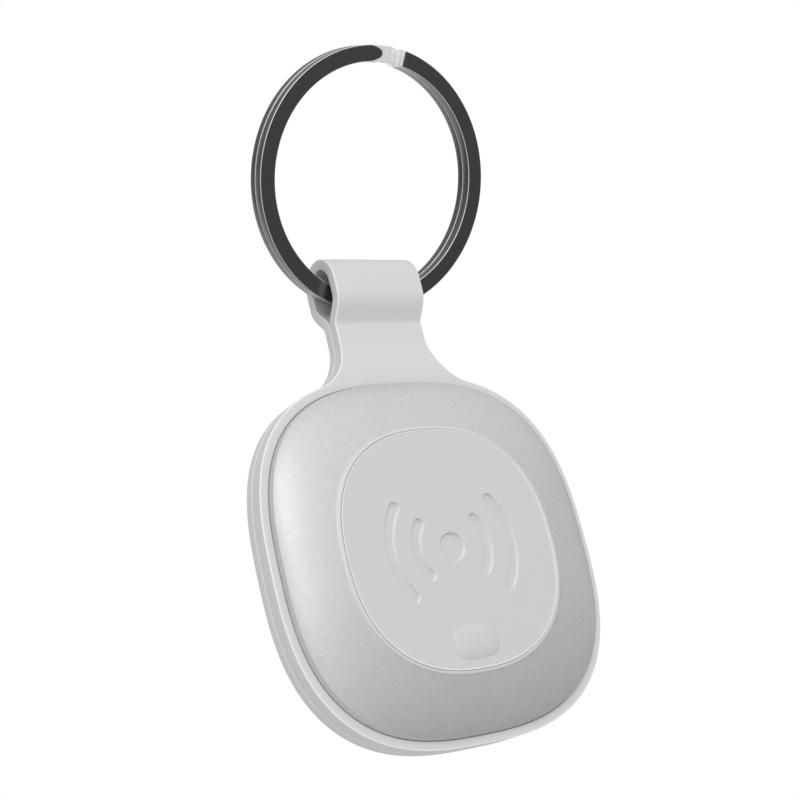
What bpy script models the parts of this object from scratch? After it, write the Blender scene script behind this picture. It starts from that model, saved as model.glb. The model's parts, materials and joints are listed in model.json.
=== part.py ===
"""Bluetooth tracker tag on a split key ring, as an assembly of separate pieces.

Metres, +Z up. The tag's front faces -Y. The origin is the point at the top of the
key ring's inside, where a hook or another ring holds it. Run it with
blender --background --python part.py, or from Blender's text editor.
"""

from math import atan2, cos, hypot, pi, radians, sin, sqrt

import bmesh
import bpy
import numpy as np
from mathutils import Matrix, Vector

# Outline of the tag: a superellipse, in the XZ plane
BODY_HALF_WIDTH = 0.0195
BODY_ASPECT = 0.993  # height over width
BODY_EXPONENT = 2.75

# Silicone strap: front frame, neck, loop, neck and back frame, folded over at the top
FRAME_WALL = 0.0009  # width of the rim's front face
FRAME_DEPTH = 0.00167  # from the fold plane to the rim's face
BACK_FRAME_DEPTH = 0.00125
LAYER_GAP = 0.0001  # between the two layers
NECK_HALF_WIDTH = 0.00545
NECK_THICKNESS = 0.00115
NECK_FILLET = 0.0055
MERGE_SPACE = 0.0002  # least space between the outline's points and the fillet
TUNNEL_RADIUS = 0.00175
TUNNEL_CENTRE_HEIGHT = 0.0302  # above the body's centre
TUNNEL_STRAIGHT_END = 0.0289
TUNNEL_CLOSED_HEIGHT = 0.0256
NECK_RAMP_TOP = 0.0235
NECK_RAMP_FOOT = 0.0198
GROOVE_DEPTH = 0.00044  # inside each frame, for the puck's flange
GROOVE_HALF_HEIGHT = 0.0007

# Split ring of flat wire, two turns
RING_OUTER_RADIUS = 0.01394
WIRE_WIDTH = 0.00173  # across the ring
WIRE_THICKNESS = 0.00096  # along the ring's axis
WIRE_CHAMFER = 0.0002
TURN_GAP = 0.00012
TURN_STATIONS = 48  # sections along each turn
RING_LEAN = radians(28.3)  # forwards, against the tag
RING_SEAT_HEIGHT = 0.02897  # swing axis above the body's centre
CUT_END_ANGLE = radians(11)  # front end of the wire, clockwise from the top
JOG_START_ANGLE = radians(4)
JOG_END_ANGLE = radians(12.5)
BACK_END_ANGLE = radians(1)

# Puck
SIDE_GAP = 0.00018  # rim to the dome's edge
WALL_LEAN = 0.00014  # the side wall leans in by this from its foot to the dome
WALL_FOOT = 0.0015
FLANGE_DEPTH = 0.0005
FLANGE_REACH = 0.00035  # how far the flange enters the groove
SHELL_WALL = 0.0009
WALL_TOP = 0.0023  # depth where the side wall ends and the dome starts
DOME_START = radians(36)  # the part of an ellipse's quarter that the dome follows
DOME_END = radians(74)
FRONT_PLANE = 0.0043
PANEL_HALF_WIDTH = 0.0125
PANEL_EXPONENT = 2.38
PANEL_THICKNESS = 0.00075
PANEL_CLEARANCE = 0.00014
LEDGE_WIDTH = 0.0013
LEDGE_THICKNESS = 0.0007
STACK_GAP = 0.00005  # between flat pieces that lie on each other

# Button
BUTTON_WIDTH = 0.0055
BUTTON_HEIGHT = 0.0036
BUTTON_EXPONENT = 3.2
BUTTON_MARGIN = 0.001  # from the panel's lower edge
BUTTON_DROP = PANEL_HALF_WIDTH * BODY_ASPECT - BUTTON_MARGIN - BUTTON_HEIGHT / 2
BUTTON_PROUD = 0.0004
CROWN_EDGE = 0.0003
BUTTON_LIP = 0.0004
BUTTON_LIP_THICKNESS = 0.0003
BUTTON_CLEARANCE = 0.00008
BUTTON_TRAVEL = 0.00025
STEM_RADIUS = 0.0009
PLUNGER_RADIUS = 0.0007
PLUNGER_LENGTH = 0.0007
SWITCH_SIZE = 0.0040
SWITCH_HEIGHT = 0.0009

# Electronics
BOARD_RADIUS = 0.0164
BOARD_THICKNESS = 0.0008
BOARD_BACK = -0.0006  # depth of the board's back face, along +Y
PART_GAP = 0.00005
DISC_RADIUS = 0.0068
DISC_THICKNESS = 0.00015
CERAMIC_RADIUS = 0.0048
GASKET_WIDTH = 0.0009
SPRING_WIDTH = 0.0008
SPRING_THICKNESS = 0.0001

# Coin cell
CELL_RADIUS = 0.0100
CELL_HEIGHT = 0.0032
CELL_FRONT = -0.00015
CELL_CLEARANCE = 0.0002  # under the door
CAN_WALL = 0.00025
CAP_RADIUS = 0.0089
CELL_EDGE = 0.0004
GROMMET_CLEARANCE = 0.00005
PLUS_CLEARANCE = 0.00008  # positive contact, beside the can
PLUS_FOOT = 0.0017
PLUS_REACH = 0.0004
PLUS_WIDTH = 0.0030
MINUS_FOOT = 0.0015  # negative contact, under the cap
MINUS_BEND = 0.0035
MINUS_END = 0.0045
MINUS_WIDTH = 0.0022

# Holder, screws, door
HOLDER_INNER_RADIUS = 0.0103
HOLDER_OUTER_RADIUS = 0.0120
HOLDER_FRONT = -0.0003
EAR_BACK = 0.0006
EAR_RADIUS = 0.0016
EAR_STEP = 0.0001  # the ears start this far behind the holder's front
EAR_ROOT_OVERLAP = 0.0006
SCREW_CIRCLE = 0.0142
SCREW_ANGLES = [radians(a) for a in (30, 150, 270)]
BOSS_RADIUS = 0.0014
SHANK_RADIUS = 0.00045
SHANK_LENGTH = 0.0030
HEAD_RADIUS = 0.0011
HEAD_HEIGHT = 0.0006
THREAD_CLEARANCE = 0.00005
BORE_SPARE = 0.0002  # past the screw's tip
DRIVE_LENGTH = 0.0012
DRIVE_WIDTH = 0.00022
DOOR_RADIUS = 0.0125
DOOR_THICKNESS = 0.00095
DOOR_CLEARANCE = 0.00015
DOOR_FRAME_WIDTH = 0.0024  # flat border of the back shell round the door
SKIRT_OUTER_RADIUS = 0.0113
SKIRT_WALL = 0.0008
LUG_REACH = 0.0008
LUG_THICKNESS = 0.0003
LUG_ANGLES = [radians(a) for a in (90, 210, 330)]
LUG_SPAN = radians(14)
DOOR_TWIST = radians(25)
SEAL_THICKNESS = 0.00035
SHELF_THICKNESS = 0.0008
BACK_PLANE = CELL_FRONT + CELL_HEIGHT + CELL_CLEARANCE + DOOR_THICKNESS
DOOR_SHELF = BACK_PLANE - DOOR_THICKNESS - SEAL_THICKNESS  # the seal lies on it
DOOR_SHELF_FOOT = DOOR_SHELF - SHELF_THICKNESS
SKIRT_FOOT = DOOR_SHELF_FOOT - LUG_THICKNESS - 2 * STACK_GAP
HOLDER_BACK = SKIRT_FOOT - 3 * STACK_GAP
SEAL_WIDTH = 0.0006
COIN_SLOT_LENGTH = 0.0120
COIN_SLOT_WIDTH = 0.0018
COIN_SLOT_DEPTH = 0.0005

EDGE_CHAMFER = 0.00025  # panel, its surround and the door
ROUND = 48  # points round an outline
BEYOND = 0.001  # how far a cutter runs past the face that it opens

COLOURS = {
    "silicone": ((0.68, 0.68, 0.68), 0.6, 0.0),
    "metal_coat": ((0.62, 0.62, 0.62), 0.35, 0.8),
    "panel_plastic": ((0.62, 0.62, 0.62), 0.5, 0.0),
    "back_plastic": ((0.60, 0.60, 0.60), 0.55, 0.0),
    "ring_steel": ((0.07, 0.07, 0.07), 0.35, 0.9),
    "cell_steel": ((0.70, 0.70, 0.68), 0.25, 1.0),
    "contact_steel": ((0.75, 0.74, 0.70), 0.3, 1.0),
    "board_green": ((0.02, 0.16, 0.08), 0.5, 0.0),
    "chip_black": ((0.02, 0.02, 0.02), 0.5, 0.0),
    "brass": ((0.72, 0.52, 0.22), 0.3, 1.0),
    "ceramic": ((0.80, 0.78, 0.72), 0.5, 0.0),
    "holder_plastic": ((0.08, 0.08, 0.08), 0.6, 0.0),
    "seal_rubber": ((0.03, 0.03, 0.03), 0.8, 0.0),
    "foam_tape": ((0.10, 0.10, 0.10), 0.9, 0.0),
}


# Scene and objects

def clear_scene():
    for obj in list(bpy.data.objects):
        bpy.data.objects.remove(obj, do_unlink=True)


def new_collection(name):
    collection = bpy.data.collections.new(name)
    bpy.context.scene.collection.children.link(collection)
    return collection


def new_empty(name, location=(0, 0, 0), rotation=(0, 0, 0), parent=None):
    empty = bpy.data.objects.new(name, None)
    empty.location = location
    empty.rotation_euler = rotation
    empty.parent = parent
    parts.objects.link(empty)
    return empty


def new_material(name, finish):
    colour, roughness, metallic = COLOURS[finish]
    material = bpy.data.materials.new(name)
    material.use_nodes = True
    shader = material.node_tree.nodes["Principled BSDF"]
    shader.inputs["Base Color"].default_value = (*colour, 1)
    shader.inputs["Roughness"].default_value = roughness
    shader.inputs["Metallic"].default_value = metallic
    return material


def new_piece(name, mesh, finish, parent, location=(0, 0, 0)):
    mesh.name = name
    mesh.materials.append(new_material(name, finish))
    mesh.shade_smooth()
    mesh.set_sharp_from_angle(angle=radians(35))
    piece = bpy.data.objects.new(name, mesh)
    piece.parent = parent
    piece.location = location
    parts.objects.link(piece)
    return piece


def boolean(piece, mesh, operation, location=(0, 0, 0), turn=0):
    """Joins mesh to the piece or cuts it out. location and turn, about Y, are in its parent's frame."""
    cutter = bpy.data.objects.new(mesh.name, mesh)
    cutter.parent = piece.parent
    cutter.location = location
    cutter.rotation_euler = (0, -turn, 0)
    cutter.hide_render = True
    cutter.display_type = "WIRE"
    cutters.objects.link(cutter)
    modifier = piece.modifiers.new(operation.title(), "BOOLEAN")
    modifier.operation = operation
    modifier.object = cutter
    modifier.solver = "MANIFOLD"  # EXACT leaves open edges where facets nearly meet


def cut(piece, mesh, location=(0, 0, 0), turn=0):
    boolean(piece, mesh, "DIFFERENCE", location, turn)


def join(piece, mesh, location=(0, 0, 0), turn=0):
    boolean(piece, mesh, "UNION", location, turn)


# Outlines and meshes

def superellipse(half_width, exponent, aspect=BODY_ASPECT, count=ROUND):
    """Points (x, z) counter-clockwise from +X."""
    points = []
    for i in range(count):
        c, s = cos(2 * pi * i / count), sin(2 * pi * i / count)
        x = half_width * abs(c) ** (2 / exponent) * (1 if c >= 0 else -1)
        z = half_width * aspect * abs(s) ** (2 / exponent) * (1 if s >= 0 else -1)
        points.append((x, z))
    return points


def ring_of(points, y):
    return [(x, y, z) for x, z in points]


def circle(radius, count=ROUND):
    return superellipse(radius, 2.0, 1.0, count)


def finish_mesh(name, bm):
    bmesh.ops.recalc_face_normals(bm, faces=bm.faces)
    if bm.calc_volume(signed=True) < 0:
        bmesh.ops.reverse_faces(bm, faces=bm.faces)
    mesh = bpy.data.meshes.new(name)
    bm.to_mesh(mesh)
    bm.free()
    return mesh


def loft(name, sections, closed):
    """Skins sections of equal point count. closed joins the last to the first, or both ends are capped."""
    bm = bmesh.new()
    loops = [[bm.verts.new(p) for p in section] for section in sections]
    pairs = list(zip(loops, loops[1:]))
    if closed:
        pairs.append((loops[-1], loops[0]))
    for low, high in pairs:
        for i in range(len(low)):
            j = (i + 1) % len(low)
            bm.faces.new((low[i], low[j], high[j], high[i]))
    if not closed:
        bm.faces.new(loops[0])
        bm.faces.new(loops[-1])
    return finish_mesh(name, bm)


def disc(name, radius, front, back, count=ROUND):
    """A cylinder along Y between two depths."""
    bm = bmesh.new()
    along_y = Matrix.Rotation(pi / 2, 4, "X")
    placed = Matrix.Translation((0, (front + back) / 2, 0)) @ along_y
    bmesh.ops.create_cone(bm, cap_ends=True, segments=count, radius1=radius, radius2=radius,
                          depth=back - front, matrix=placed)
    return finish_mesh(name, bm)


def washer(name, inner, outer, front, back, count=ROUND):
    """A flat ring about Y, from two radii and two depths."""
    corners = ((outer, front), (outer, back), (inner, back), (inner, front))
    return loft(name, [ring_of(circle(r, count), y) for r, y in corners], True)


def box(name, width, height, front, back):
    """A block centred on X and Z, between two depths."""
    bm = bmesh.new()
    size = Matrix.Diagonal((width, back - front, height, 1))
    bmesh.ops.create_cube(bm, size=1, matrix=Matrix.Translation((0, (front + back) / 2, 0)) @ size)
    return finish_mesh(name, bm)


def flat_outline(name, outlines):
    """A plate one unit thick in XY from closed outlines, the first outside and the others holes."""
    curve = bpy.data.curves.new(name, "CURVE")
    curve.dimensions = "2D"
    curve.fill_mode = "BOTH"
    curve.extrude = 0.5
    for points in outlines:
        spline = curve.splines.new("POLY")
        spline.points.add(len(points) - 1)
        spline.use_cyclic_u = True
        for target, (x, y) in zip(spline.points, points):
            target.co = (x, y, 0, 1)
    holder = bpy.data.objects.new(name, curve)
    cutters.objects.link(holder)
    bpy.context.view_layer.update()
    graph = bpy.context.evaluated_depsgraph_get()
    mesh = bpy.data.meshes.new_from_object(holder.evaluated_get(graph))
    bpy.data.objects.remove(holder, do_unlink=True)
    bm = bmesh.new()
    bm.from_mesh(mesh)
    bmesh.ops.remove_doubles(bm, verts=bm.verts, dist=1e-6)
    return bm


def plate(name, outlines, front, back):
    """A flat piece in the XZ plane between two depths, from closed (x, z) outlines."""
    bm = flat_outline(name, outlines)
    for vert in bm.verts:
        x, z, share = vert.co
        vert.co = (x, front + (back - front) * (share + 0.5), z)
    return finish_mesh(name, bm)


def at_angle(radius, angle):
    return (radius * cos(angle), 0, radius * sin(angle))


# Strap

def fold_path():
    """Inner face of the front layer from the loop's top down, as (y, z) rows."""
    half_gap = LAYER_GAP / 2
    rows = []
    for i in range(13):
        turn = pi / 2 * i / 12
        rows.append((-TUNNEL_RADIUS * sin(turn), TUNNEL_CENTRE_HEIGHT + TUNNEL_RADIUS * cos(turn)))
    for i in range(17):
        share = i / 16
        z = TUNNEL_STRAIGHT_END + (TUNNEL_CLOSED_HEIGHT - TUNNEL_STRAIGHT_END) * share
        open_share = (1 + cos(pi * share)) / 2
        rows.append((-half_gap - (TUNNEL_RADIUS - half_gap) * open_share, z))
    rows.append((-half_gap, -1.2 * BODY_HALF_WIDTH))
    return np.array(rows)


class Fold:
    """Bends a flat strap round the loop. along is the distance from the loop's top, positive to the front."""

    def __init__(self):
        self.rows = fold_path()
        steps = np.linalg.norm(np.diff(self.rows, axis=0), axis=1)
        self.length = np.concatenate([[0], np.cumsum(steps)])
        self.to_centre = float(self.length[-1] - (0 - self.rows[-1, 1]))

    def along(self, height):
        """Distance from the loop's top to a height on the straight part below the tunnel."""
        return self.to_centre - height

    def thickness(self, height, side):
        share = (NECK_RAMP_TOP - height) / (NECK_RAMP_TOP - NECK_RAMP_FOOT)
        share = min(max(share, 0), 1)
        smooth = share * share * (3 - 2 * share)
        frame = (FRAME_DEPTH if side > 0 else BACK_FRAME_DEPTH) - LAYER_GAP / 2
        return NECK_THICKNESS + (frame - NECK_THICKNESS) * smooth

    def place(self, x, along, depth):
        """depth runs from 0 on the inner face to 1 on the outer face."""
        side = 1 if along >= 0 else -1
        s = abs(along)
        y = float(np.interp(s, self.length, self.rows[:, 0]))
        z = float(np.interp(s, self.length, self.rows[:, 1]))
        reach = 1e-5
        y0, y1 = np.interp((s - reach, s + reach), self.length, self.rows[:, 0])
        z0, z1 = np.interp((s - reach, s + reach), self.length, self.rows[:, 1])
        if s < reach:
            outward = (0.0, 1.0)
        else:
            size = hypot(y1 - y0, z1 - z0)
            outward = ((z1 - z0) / size, -(y1 - y0) / size)
        t = depth * self.thickness(z, side)
        return Vector((x, side * (y + outward[0] * t), z + outward[1] * t))


def neck_outline():
    """Right half of the tag's outline: (x, z) from the bottom round to the neck, with its fillet."""
    def edge(turn):
        """Point and outward normal of the body's outline, turn 0 at +X and a quarter turn at the top."""
        c, s = cos(turn), sin(turn)
        x = BODY_HALF_WIDTH * abs(c) ** (2 / BODY_EXPONENT)
        z = BODY_HALF_WIDTH * BODY_ASPECT * abs(s) ** (2 / BODY_EXPONENT)
        nx = (x / BODY_HALF_WIDTH) ** (BODY_EXPONENT - 1) / BODY_HALF_WIDTH
        nz = (z / (BODY_HALF_WIDTH * BODY_ASPECT)) ** (BODY_EXPONENT - 1) / (BODY_HALF_WIDTH * BODY_ASPECT)
        size = hypot(nx, nz)
        return x, z, nx / size, nz / size

    low, high = 0.1, pi / 2 - 1e-4
    for _ in range(50):
        middle = (low + high) / 2
        x, z, nx, nz = edge(middle)
        if x + NECK_FILLET * nx > NECK_HALF_WIDTH + NECK_FILLET:
            low = middle
        else:
            high = middle
    x, z, nx, nz = edge(low)
    centre = (x + NECK_FILLET * nx, z + NECK_FILLET * nz)
    points = [(px, pz) for px, pz in superellipse(BODY_HALF_WIDTH, BODY_EXPONENT) if px > 1e-6]
    points.sort(key=lambda p: atan2(p[1], p[0]))
    points = [p for p in points if p[1] < 0 or p[0] > x + MERGE_SPACE]
    start = atan2(-nz, -nx)
    for i in range(9):
        turn = start + (-pi - start) * i / 8
        points.append((centre[0] + NECK_FILLET * cos(turn), centre[1] + NECK_FILLET * sin(turn)))
    return [(0.0, -BODY_HALF_WIDTH * BODY_ASPECT)] + points


def make_strap(parent):
    fold = Fold()
    half = [(x, fold.along(z)) for x, z in neck_outline()]
    right = half + [(x, -along) for x, along in reversed(half)]
    left = [(-x, along) for x, along in reversed(right) if x > 1e-6]
    hole = superellipse(BODY_HALF_WIDTH - FRAME_WALL, BODY_EXPONENT)
    holes = [[(x, side * fold.along(z)) for x, z in hole] for side in (1, -1)]
    bm = flat_outline("strap_flat", [right + left] + holes)
    cut_end = fold.along(NECK_RAMP_FOOT)
    count = 48
    for i in range(1, count):
        along = -cut_end + 2 * cut_end * i / count
        bmesh.ops.bisect_plane(bm, geom=bm.verts[:] + bm.edges[:] + bm.faces[:], dist=1e-7,
                               plane_co=(0, along, 0), plane_no=(0, 1, 0))
    for vert in bm.verts:
        vert.co = fold.place(vert.co.x, vert.co.y, vert.co.z + 0.5)
    strap = new_piece("strap", finish_mesh("strap", bm), "silicone", parent)
    groove_half = BODY_HALF_WIDTH - FRAME_WALL + GROOVE_DEPTH
    groove = superellipse(groove_half, BODY_EXPONENT)
    faces = [ring_of(groove, -GROOVE_HALF_HEIGHT), ring_of(groove, GROOVE_HALF_HEIGHT)]
    cut(strap, loft("strap_groove", faces, False))


# Split ring

def wire_section(angle, radius, centre_y):
    """Chamfered rectangle of the flat wire at an angle clockwise from the ring's top."""
    w, t, c = WIRE_WIDTH / 2, WIRE_THICKNESS / 2, WIRE_CHAMFER
    corners = ((w, t - c), (w - c, t), (c - w, t), (-w, t - c),
               (-w, c - t), (c - w, -t), (w - c, -t), (w, c - t))
    return [((radius + r) * sin(angle), centre_y + y, (radius + r) * cos(angle)) for r, y in corners]


def make_key_ring(parent):
    radius = RING_OUTER_RADIUS - WIRE_WIDTH / 2
    layer = (WIRE_THICKNESS + TURN_GAP) / 2
    jog_start = JOG_START_ANGLE + 2 * pi
    jog_end = JOG_END_ANGLE + 2 * pi
    finish = BACK_END_ANGLE + 4 * pi
    front = np.linspace(CUT_END_ANGLE, jog_start, TURN_STATIONS)
    jog = np.linspace(jog_start, jog_end, 9)[1:-1]
    back = np.linspace(jog_end, finish, TURN_STATIONS)
    sections = [wire_section(a, radius, -layer) for a in front]
    for a in jog:
        share = (a - jog_start) / (jog_end - jog_start)
        sections.append(wire_section(a, radius, -layer * cos(pi * share)))
    sections += [wire_section(a, radius, layer) for a in back]
    new_piece("key_ring", loft("key_ring", sections, False), "ring_steel", parent)


# Puck shells and panel

def flange_half_width():
    return BODY_HALF_WIDTH - FRAME_WALL + FLANGE_REACH


def wall_half_width():
    return BODY_HALF_WIDTH - FRAME_WALL - SIDE_GAP


def opening_half_width():
    return PANEL_HALF_WIDTH + PANEL_CLEARANCE


def dome(inner_half, inner_exponent, plane, steps=8):
    """Sections (half width, exponent, depth) from the flat centre down to the side wall's top."""
    outer_half = wall_half_width()
    rows = []
    for i in range(steps + 1):
        turn = DOME_START + (DOME_END - DOME_START) * i / steps
        share = (sin(turn) - sin(DOME_START)) / (sin(DOME_END) - sin(DOME_START))
        fall = (cos(turn) - cos(DOME_END)) / (cos(DOME_START) - cos(DOME_END))
        half = inner_half + (outer_half - inner_half) * share
        exponent = inner_exponent + (BODY_EXPONENT - inner_exponent) * share
        rows.append((half, exponent, WALL_TOP + (plane - WALL_TOP) * fall))
    return rows


def shell_mesh(name, rows, side):
    """rows of (half width, exponent, depth) round the shell's wall; side -1 is the front."""
    return loft(name, [ring_of(superellipse(h, n), side * d) for h, n, d in rows], True)


def joint_rows():
    """The side wall from the dome's foot to the flange and back up its inside."""
    wall, flange = wall_half_width(), flange_half_width()
    foot = FLANGE_DEPTH + LAYER_GAP
    rows = ((wall + WALL_LEAN, WALL_FOOT), (wall + WALL_LEAN, foot), (flange, foot), (flange, LAYER_GAP),
            (wall - SHELL_WALL, LAYER_GAP), (wall - SHELL_WALL, WALL_TOP - SHELL_WALL))
    return [(half, BODY_EXPONENT, depth) for half, depth in rows]


def make_front_shell(parent):
    opening = opening_half_width()
    ledge_top = FRONT_PLANE - PANEL_THICKNESS - 4 * STACK_GAP
    ledge_foot = ledge_top - LEDGE_THICKNESS
    rows = dome(opening + EDGE_CHAMFER, PANEL_EXPONENT, FRONT_PLANE) + joint_rows() + [
        (opening + LEDGE_WIDTH, PANEL_EXPONENT, ledge_foot),
        (opening - LEDGE_WIDTH, PANEL_EXPONENT, ledge_foot),
        (opening - LEDGE_WIDTH, PANEL_EXPONENT, ledge_top),
        (opening, PANEL_EXPONENT, ledge_top),
        (opening, PANEL_EXPONENT, FRONT_PLANE - EDGE_CHAMFER)]
    shell = new_piece("front_shell", shell_mesh("front_shell", rows, -1), "metal_coat", parent)
    cut(shell, button_notch("ledge_notch"), (0, 0, -BUTTON_DROP))
    boss_foot = HOLDER_FRONT - STACK_GAP
    for i, angle in enumerate(SCREW_ANGLES):
        boss = disc(f"boss_{i}", BOSS_RADIUS, -(ledge_foot + LEDGE_THICKNESS / 2), boss_foot, 24)
        join(shell, boss, at_angle(SCREW_CIRCLE, angle))
    for i, angle in enumerate(SCREW_ANGLES):
        bore = disc(f"boss_bore_{i}", SHANK_RADIUS + THREAD_CLEARANCE, screw_tip() - BORE_SPARE, BEYOND, 16)
        cut(shell, bore, at_angle(SCREW_CIRCLE, angle))


def button_outline(grow, count=32):
    aspect = (BUTTON_HEIGHT / 2 + grow) / (BUTTON_WIDTH / 2 + grow)
    return superellipse(BUTTON_WIDTH / 2 + grow, BUTTON_EXPONENT, aspect, count)


def button_notch(name):
    """Clears the button's lip out of the ledge and the tape behind the panel."""
    outline = button_outline(BUTTON_LIP + 2 * BUTTON_CLEARANCE)
    return loft(name, [ring_of(outline, y) for y in (PANEL_THICKNESS - FRONT_PLANE + 1e-5, 0)], False)


def make_front_panel(parent):
    back = PANEL_THICKNESS - FRONT_PLANE
    rows = ((PANEL_HALF_WIDTH, back), (PANEL_HALF_WIDTH, -FRONT_PLANE + EDGE_CHAMFER),
            (PANEL_HALF_WIDTH - EDGE_CHAMFER, -FRONT_PLANE))
    sections = [ring_of(superellipse(h, PANEL_EXPONENT), y) for h, y in rows]
    panel = new_piece("front_panel", loft("front_panel", sections, False), "panel_plastic", parent)
    hole = button_outline(BUTTON_CLEARANCE)
    through = loft("button_hole", [ring_of(hole, -2 * FRONT_PLANE), ring_of(hole, 0)], False)
    cut(panel, through, (0, 0, -BUTTON_DROP))
    opening = opening_half_width()
    tape_front, tape_back = back + STACK_GAP, back + 3 * STACK_GAP
    corners = ((opening - PANEL_CLEARANCE, tape_front), (opening - PANEL_CLEARANCE, tape_back),
               (opening - LEDGE_WIDTH, tape_back), (opening - LEDGE_WIDTH, tape_front))
    sections = [ring_of(superellipse(h, PANEL_EXPONENT), y) for h, y in corners]
    tape = new_piece("panel_tape", loft("panel_tape", sections, True), "foam_tape", parent)
    cut(tape, button_notch("tape_notch"), (0, 0, -BUTTON_DROP))


def make_button(parent):
    panel_back = PANEL_THICKNESS - FRONT_PLANE
    lip_front = panel_back + PART_GAP
    lip_back = lip_front + BUTTON_LIP_THICKNESS
    crown = -FRONT_PLANE - BUTTON_PROUD
    rows = [(-3 * CROWN_EDGE, crown), (-CROWN_EDGE, crown + BUTTON_PROUD / 4), (0, -FRONT_PLANE),
            (0, lip_front), (BUTTON_LIP, lip_front), (BUTTON_LIP, lip_back)]
    sections = [ring_of(button_outline(grow), y) for grow, y in rows]
    cap = new_piece("button_cap", loft("button_cap", sections, False), "panel_plastic", parent)
    stem_root = lip_back - BUTTON_LIP_THICKNESS / 2
    join(cap, disc("button_stem", STEM_RADIUS, stem_root, plunger_front() - PART_GAP, 24))
    plunger = disc("switch_plunger", PLUNGER_RADIUS, plunger_front(), plunger_front() + PLUNGER_LENGTH, 24)
    new_piece("switch_plunger", plunger, "contact_steel", parent)


# Electronics

def board_front():
    return BOARD_BACK - BOARD_THICKNESS


def switch_top():
    return board_front() - PART_GAP - SWITCH_HEIGHT


def plunger_front():
    """The plunger stands proud of the switch by its travel and a little more."""
    return switch_top() - BUTTON_TRAVEL - 2 * PART_GAP


def make_switch(parent):
    foot = board_front() - PART_GAP
    body = box("switch_body", SWITCH_SIZE, SWITCH_SIZE * 0.85, switch_top(), foot)
    switch = new_piece("switch_body", body, "contact_steel", parent, (0, 0, -BUTTON_DROP))
    depth = plunger_front() + PLUNGER_LENGTH + BUTTON_TRAVEL + PART_GAP
    well = disc("switch_well", PLUNGER_RADIUS + PART_GAP, switch_top() - BEYOND, depth, 24)
    cut(switch, well, (0, 0, -BUTTON_DROP))


def make_board(parent):
    mesh = disc("circuit_board", BOARD_RADIUS, board_front(), BOARD_BACK, 96)
    board = new_piece("circuit_board", mesh, "board_green", parent)
    for i, angle in enumerate(SCREW_ANGLES):
        hole = disc(f"board_hole_{i}", BOSS_RADIUS + 2 * PART_GAP, board_front() - BEYOND, BEYOND, 24)
        cut(board, hole, at_angle(SCREW_CIRCLE, angle))


BOARD_PARTS = {  # name: width, height, thickness, x, z, finish
    "radio_chip": (0.0050, 0.0050, 0.00085, -0.0058, -0.0010, "chip_black"),
    "memory_chip": (0.0030, 0.0020, 0.00060, -0.0090, 0.0052, "chip_black"),
    "crystal": (0.0025, 0.0020, 0.00060, -0.0058, -0.0062, "cell_steel"),
    "chip_antenna": (0.0070, 0.0016, 0.00055, 0.0, PANEL_HALF_WIDTH + 0.0012, "ceramic"),
    "buzzer_coil": (0.0030, 0.0030, 0.00110, 0.0105, -0.0030, "chip_black"),
    "capacitor_1": (0.0010, 0.0005, 0.00050, -0.0014, 0.0012, "ceramic"),
    "capacitor_2": (0.0010, 0.0005, 0.00050, -0.0014, -0.0004, "ceramic"),
    "capacitor_3": (0.0010, 0.0005, 0.00050, -0.0014, -0.0020, "ceramic"),
    "capacitor_4": (0.0016, 0.0008, 0.00070, 0.0070, -0.0058, "ceramic"),
}


def make_board_parts(parent):
    foot = board_front() - PART_GAP
    for name, (width, height, thickness, x, z, finish) in BOARD_PARTS.items():
        new_piece(name, box(name, width, height, foot - thickness, foot), finish, parent, (x, 0, z))


def bent_strip(name, run, finish, parent, location, width=SPRING_WIDTH, thickness=SPRING_THICKNESS):
    """A strip spring: (x, y) points of its middle line, made solid to its thickness and width."""
    bm = bmesh.new()
    rows = [[bm.verts.new((x, y, side * width / 2)) for x, y in run] for side in (-1, 1)]
    for i in range(len(run) - 1):
        bm.faces.new((rows[0][i], rows[0][i + 1], rows[1][i + 1], rows[1][i]))
    strip = new_piece(name, finish_mesh(name, bm), finish, parent, location)
    solid = strip.modifiers.new("Thickness", "SOLIDIFY")
    solid.thickness = thickness
    solid.offset = 0
    return strip


def disc_rise():
    """The sounder sits midway between the shell's ledge and the button's lip."""
    ledge = (opening_half_width() - LEDGE_WIDTH) * BODY_ASPECT
    lip = BUTTON_DROP - BUTTON_HEIGHT / 2 - BUTTON_LIP
    return (ledge - lip) / 2


def make_buzzer(parent):
    panel_back = PANEL_THICKNESS - FRONT_PLANE
    front = panel_back + STACK_GAP
    disc_front = front + DISC_THICKNESS + STACK_GAP
    ceramic_front = disc_front + DISC_THICKNESS + STACK_GAP
    rise = (0, 0, disc_rise())
    gasket = washer("buzzer_gasket", DISC_RADIUS - GASKET_WIDTH, DISC_RADIUS, front, front + DISC_THICKNESS)
    new_piece("buzzer_gasket", gasket, "foam_tape", parent, rise)
    brass = disc("buzzer_plate", DISC_RADIUS, disc_front, disc_front + DISC_THICKNESS)
    new_piece("buzzer_plate", brass, "brass", parent, rise)
    ceramic = disc("buzzer_ceramic", CERAMIC_RADIUS, ceramic_front, ceramic_front + DISC_THICKNESS)
    new_piece("buzzer_ceramic", ceramic, "ceramic", parent, rise)
    foot = board_front() - PART_GAP - SPRING_THICKNESS / 2
    springs = (("buzzer_spring_plate", (CERAMIC_RADIUS + DISC_RADIUS) / 2, disc_front),
               ("buzzer_spring_ceramic", CERAMIC_RADIUS / 2, ceramic_front))
    for name, x, contact in springs:
        touch = contact + DISC_THICKNESS + PART_GAP + SPRING_THICKNESS / 2
        foot_run = ((-0.0008, foot), (0.0006, foot), (0.0008, (foot + touch) / 2))
        run = foot_run + ((0.0, touch), (-0.0004, touch))
        bent_strip(name, run, "contact_steel", parent, (x, 0, disc_rise()))


# Coin cell and its contacts

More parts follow.
